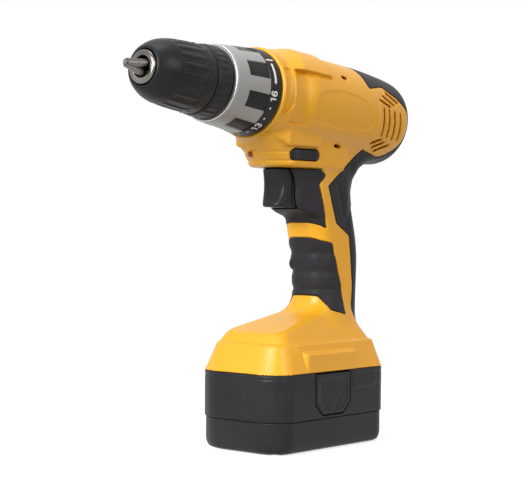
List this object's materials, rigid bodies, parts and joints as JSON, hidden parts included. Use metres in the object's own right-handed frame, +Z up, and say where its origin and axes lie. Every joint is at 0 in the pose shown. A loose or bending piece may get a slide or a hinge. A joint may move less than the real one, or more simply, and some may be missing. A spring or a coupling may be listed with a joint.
{
  "type": "cordless drill",
  "caption": "Cordless drill with a keyless chuck, a torque collar, a planetary gearbox, a motor, a sprung trigger, a direction selector and a slide-out battery pack.",
  "frame": {"origin": "middle of the battery pack's underside, on the surface that it stands on", "axes": "+Z up; the chuck points towards -X, tipped 5 degrees upwards; +Y is the tool's right-hand side"},
  "size_m": [0.2383, 0.0686, 0.2481],
  "materials": {
    "yellow_plastic": "satin moulded",
    "black_rubber": "matt overmould",
    "black_plastic": "fine textured",
    "grey_plastic": "satin",
    "chuck_steel": "turned",
    "gear_steel": "oiled",
    "zinc_steel": "zinc plated",
    "brass": "bright",
    "copper": "enamelled",
    "magnet": "sintered",
    "wire_cover": "satin",
    "cell_wrap": "shrink wrapped"
  },
  "bodies": {
    "drill": {"left_housing": "yellow_plastic", "right_housing": "yellow_plastic", "left_grip": "black_rubber", "right_grip": "black_rubber", "left_back_rubber": "black_rubber", "right_back_rubber": "black_rubber", "housing_screws": "zinc_steel", "gear_case": "grey_plastic", "gearbox_screws": "zinc_steel", "motor_plate": "zinc_steel", "clutch_balls": "gear_steel", "clutch_plate": "gear_steel", "clutch_spring": "zinc_steel", "ring_gear_front": "gear_steel", "ring_gear_rear": "gear_steel", "spindle_bearing": "gear_steel", "motor_can": "zinc_steel", "motor_magnets": "magnet", "motor_end_cap": "black_plastic", "motor_brushes": "magnet", "switch_body": "black_plastic", "internal_leads": "wire_cover", "terminal_block": "black_plastic", "terminal_blades": "brass", "trigger_spring": "zinc_steel"},
    "spindle": {"spindle": "chuck_steel", "front_carrier": "gear_steel", "chuck_body": "chuck_steel", "chuck_ring": "black_plastic", "chuck_screw": "chuck_steel"},
    "chuck_sleeve": {"chuck_sleeve": "black_plastic", "chuck_nut": "chuck_steel"},
    "jaw_1": {"jaw_1": "chuck_steel"},
    "jaw_2": {"jaw_2": "chuck_steel"},
    "jaw_3": {"jaw_3": "chuck_steel"},
    "front_planet_1": {"front_planet_1": "gear_steel"},
    "front_planet_2": {"front_planet_2": "gear_steel"},
    "front_planet_3": {"front_planet_3": "gear_steel"},
    "rear_carrier": {"rear_carrier": "gear_steel"},
    "rear_planet_1": {"rear_planet_1": "gear_steel"},
    "rear_planet_2": {"rear_planet_2": "gear_steel"},
    "rear_planet_3": {"rear_planet_3": "gear_steel"},
    "armature": {"armature": "copper", "commutator": "copper", "pinion": "brass", "cooling_fan": "black_plastic"},
    "torque_collar": {"torque_collar": "black_plastic", "collar_grip": "grey_plastic"},
    "clutch_nut": {"clutch_nut": "gear_steel"},
    "trigger": {"trigger": "black_plastic"},
    "direction_selector": {"direction_selector": "black_plastic"},
    "battery": {"pack_upper_case": "black_plastic", "pack_lower_case": "black_plastic", "battery_cells": "cell_wrap", "cell_links": "zinc_steel", "pack_terminals": "brass", "pack_screws": "zinc_steel", "latch_springs": "zinc_steel"},
    "left_latch": {"left_latch": "black_plastic"},
    "right_latch": {"right_latch": "black_plastic"}
  },
  "joints": [
    {"name": "chuck_spin", "type": "hinge", "parent": "drill", "child": "spindle", "pos_m": [-0.07489, 0, 0.22161], "axis": [0.9962, 0, -0.0872], "continuous": true},
    {"name": "chuck_sleeve_turn", "type": "hinge", "parent": "spindle", "child": "chuck_sleeve", "pos_m": [-0.11473, 0, 0.2251], "axis": [0.9962, 0, -0.0872], "range_deg": [0, 2880]},
    {"name": "jaw_1_slide", "type": "slide", "parent": "spindle", "child": "jaw_1", "axis": [0.9455, 0, -0.3256], "range_m": [0, 0.02]},
    {"name": "jaw_2_slide", "type": "slide", "parent": "spindle", "child": "jaw_2", "axis": [0.9771, 0.2095, 0.0359], "range_m": [0, 0.02]},
    {"name": "jaw_3_slide", "type": "slide", "parent": "spindle", "child": "jaw_3", "axis": [0.9771, -0.2095, 0.0359], "range_m": [0, 0.02]},
    {"name": "front_planet_1_spin", "type": "hinge", "parent": "spindle", "child": "front_planet_1", "pos_m": [-0.0408, 0, 0.2096], "axis": [0.9962, 0, -0.0872], "continuous": true},
    {"name": "front_planet_2_spin", "type": "hinge", "parent": "spindle", "child": "front_planet_2", "pos_m": [-0.03963, 0.00779, 0.22305], "axis": [0.9962, 0, -0.0872], "continuous": true},
    {"name": "front_planet_3_spin", "type": "hinge", "parent": "spindle", "child": "front_planet_3", "pos_m": [-0.03963, -0.00779, 0.22305], "axis": [0.9962, 0, -0.0872], "continuous": true},
    {"name": "rear_carrier_spin", "type": "hinge", "parent": "drill", "child": "rear_carrier", "pos_m": [-0.03464, 0, 0.21809], "axis": [0.9962, 0, -0.0872], "continuous": true},
    {"name": "rear_planet_1_spin", "type": "hinge", "parent": "rear_carrier", "child": "rear_planet_1", "pos_m": [-0.02845, 0, 0.20852], "axis": [0.9962, 0, -0.0872], "continuous": true},
    {"name": "rear_planet_2_spin", "type": "hinge", "parent": "rear_carrier", "child": "rear_planet_2", "pos_m": [-0.02727, 0.00779, 0.22197], "axis": [0.9962, 0, -0.0872], "continuous": true},
    {"name": "rear_planet_3_spin", "type": "hinge", "parent": "rear_carrier", "child": "rear_planet_3", "pos_m": [-0.02727, -0.00779, 0.22197], "axis": [0.9962, 0, -0.0872], "continuous": true},
    {"name": "motor_spin", "type": "hinge", "parent": "drill", "child": "armature", "pos_m": [0.00481, 0, 0.21464], "axis": [0.9962, 0, -0.0872], "continuous": true},
    {"name": "torque_collar_turn", "type": "hinge", "parent": "drill", "child": "torque_collar", "pos_m": [-0.06293, 0, 0.22057], "axis": [0.9962, 0, -0.0872], "range_deg": [0, 300]},
    {"name": "clutch_nut_slide", "type": "slide", "parent": "torque_collar", "child": "clutch_nut", "axis": [0.9962, 0, -0.0872], "range_m": [0, 0.002], "deforming": ["clutch_spring"]},
    {"name": "trigger_squeeze", "type": "slide", "parent": "drill", "child": "trigger", "axis": [1, 0, 0], "range_m": [0, 0.0056], "stiffness_N_per_m": 900, "springref_m": -0.003, "deforming": ["trigger_spring"]},
    {"name": "selector_slide", "type": "slide", "parent": "drill", "child": "direction_selector", "axis": [0, 1, 0], "range_m": [-0.0025, 0.0025]},
    {"name": "pack_release", "type": "slide", "parent": "drill", "child": "battery", "axis": [0, 0, -1], "range_m": [0, 0.056]},
    {"name": "left_latch_press", "type": "slide", "parent": "battery", "child": "left_latch", "axis": [0, 1, 0], "range_m": [0, 0.0024], "stiffness_N_per_m": 1500, "springref_m": -0.0012, "deforming": ["latch_springs"]},
    {"name": "right_latch_press", "type": "slide", "parent": "battery", "child": "right_latch", "axis": [0, -1, 0], "range_m": [0, 0.0024], "stiffness_N_per_m": 1500, "springref_m": -0.0012, "deforming": ["latch_springs"]}
  ],
  "couplings": [
    {"joint": "jaw_1_slide", "follows": "chuck_sleeve_turn", "m_per_rad": 0.00039788},
    {"joint": "jaw_2_slide", "follows": "chuck_sleeve_turn", "m_per_rad": 0.00039788},
    {"joint": "jaw_3_slide", "follows": "chuck_sleeve_turn", "m_per_rad": 0.00039788},
    {"joint": "front_planet_1_spin", "follows": "chuck_spin", "ratio": -2.6667},
    {"joint": "front_planet_2_spin", "follows": "chuck_spin", "ratio": -2.6667},
    {"joint": "front_planet_3_spin", "follows": "chuck_spin", "ratio": -2.6667},
    {"joint": "rear_carrier_spin", "follows": "chuck_spin", "ratio": 5},
    {"joint": "rear_planet_1_spin", "follows": "chuck_spin", "ratio": -13.333},
    {"joint": "rear_planet_2_spin", "follows": "chuck_spin", "ratio": -13.333},
    {"joint": "rear_planet_3_spin", "follows": "chuck_spin", "ratio": -13.333},
    {"joint": "motor_spin", "follows": "chuck_spin", "ratio": 25},
    {"joint": "clutch_nut_slide", "follows": "torque_collar_turn", "m_per_rad": 0.00038197}
  ]
}
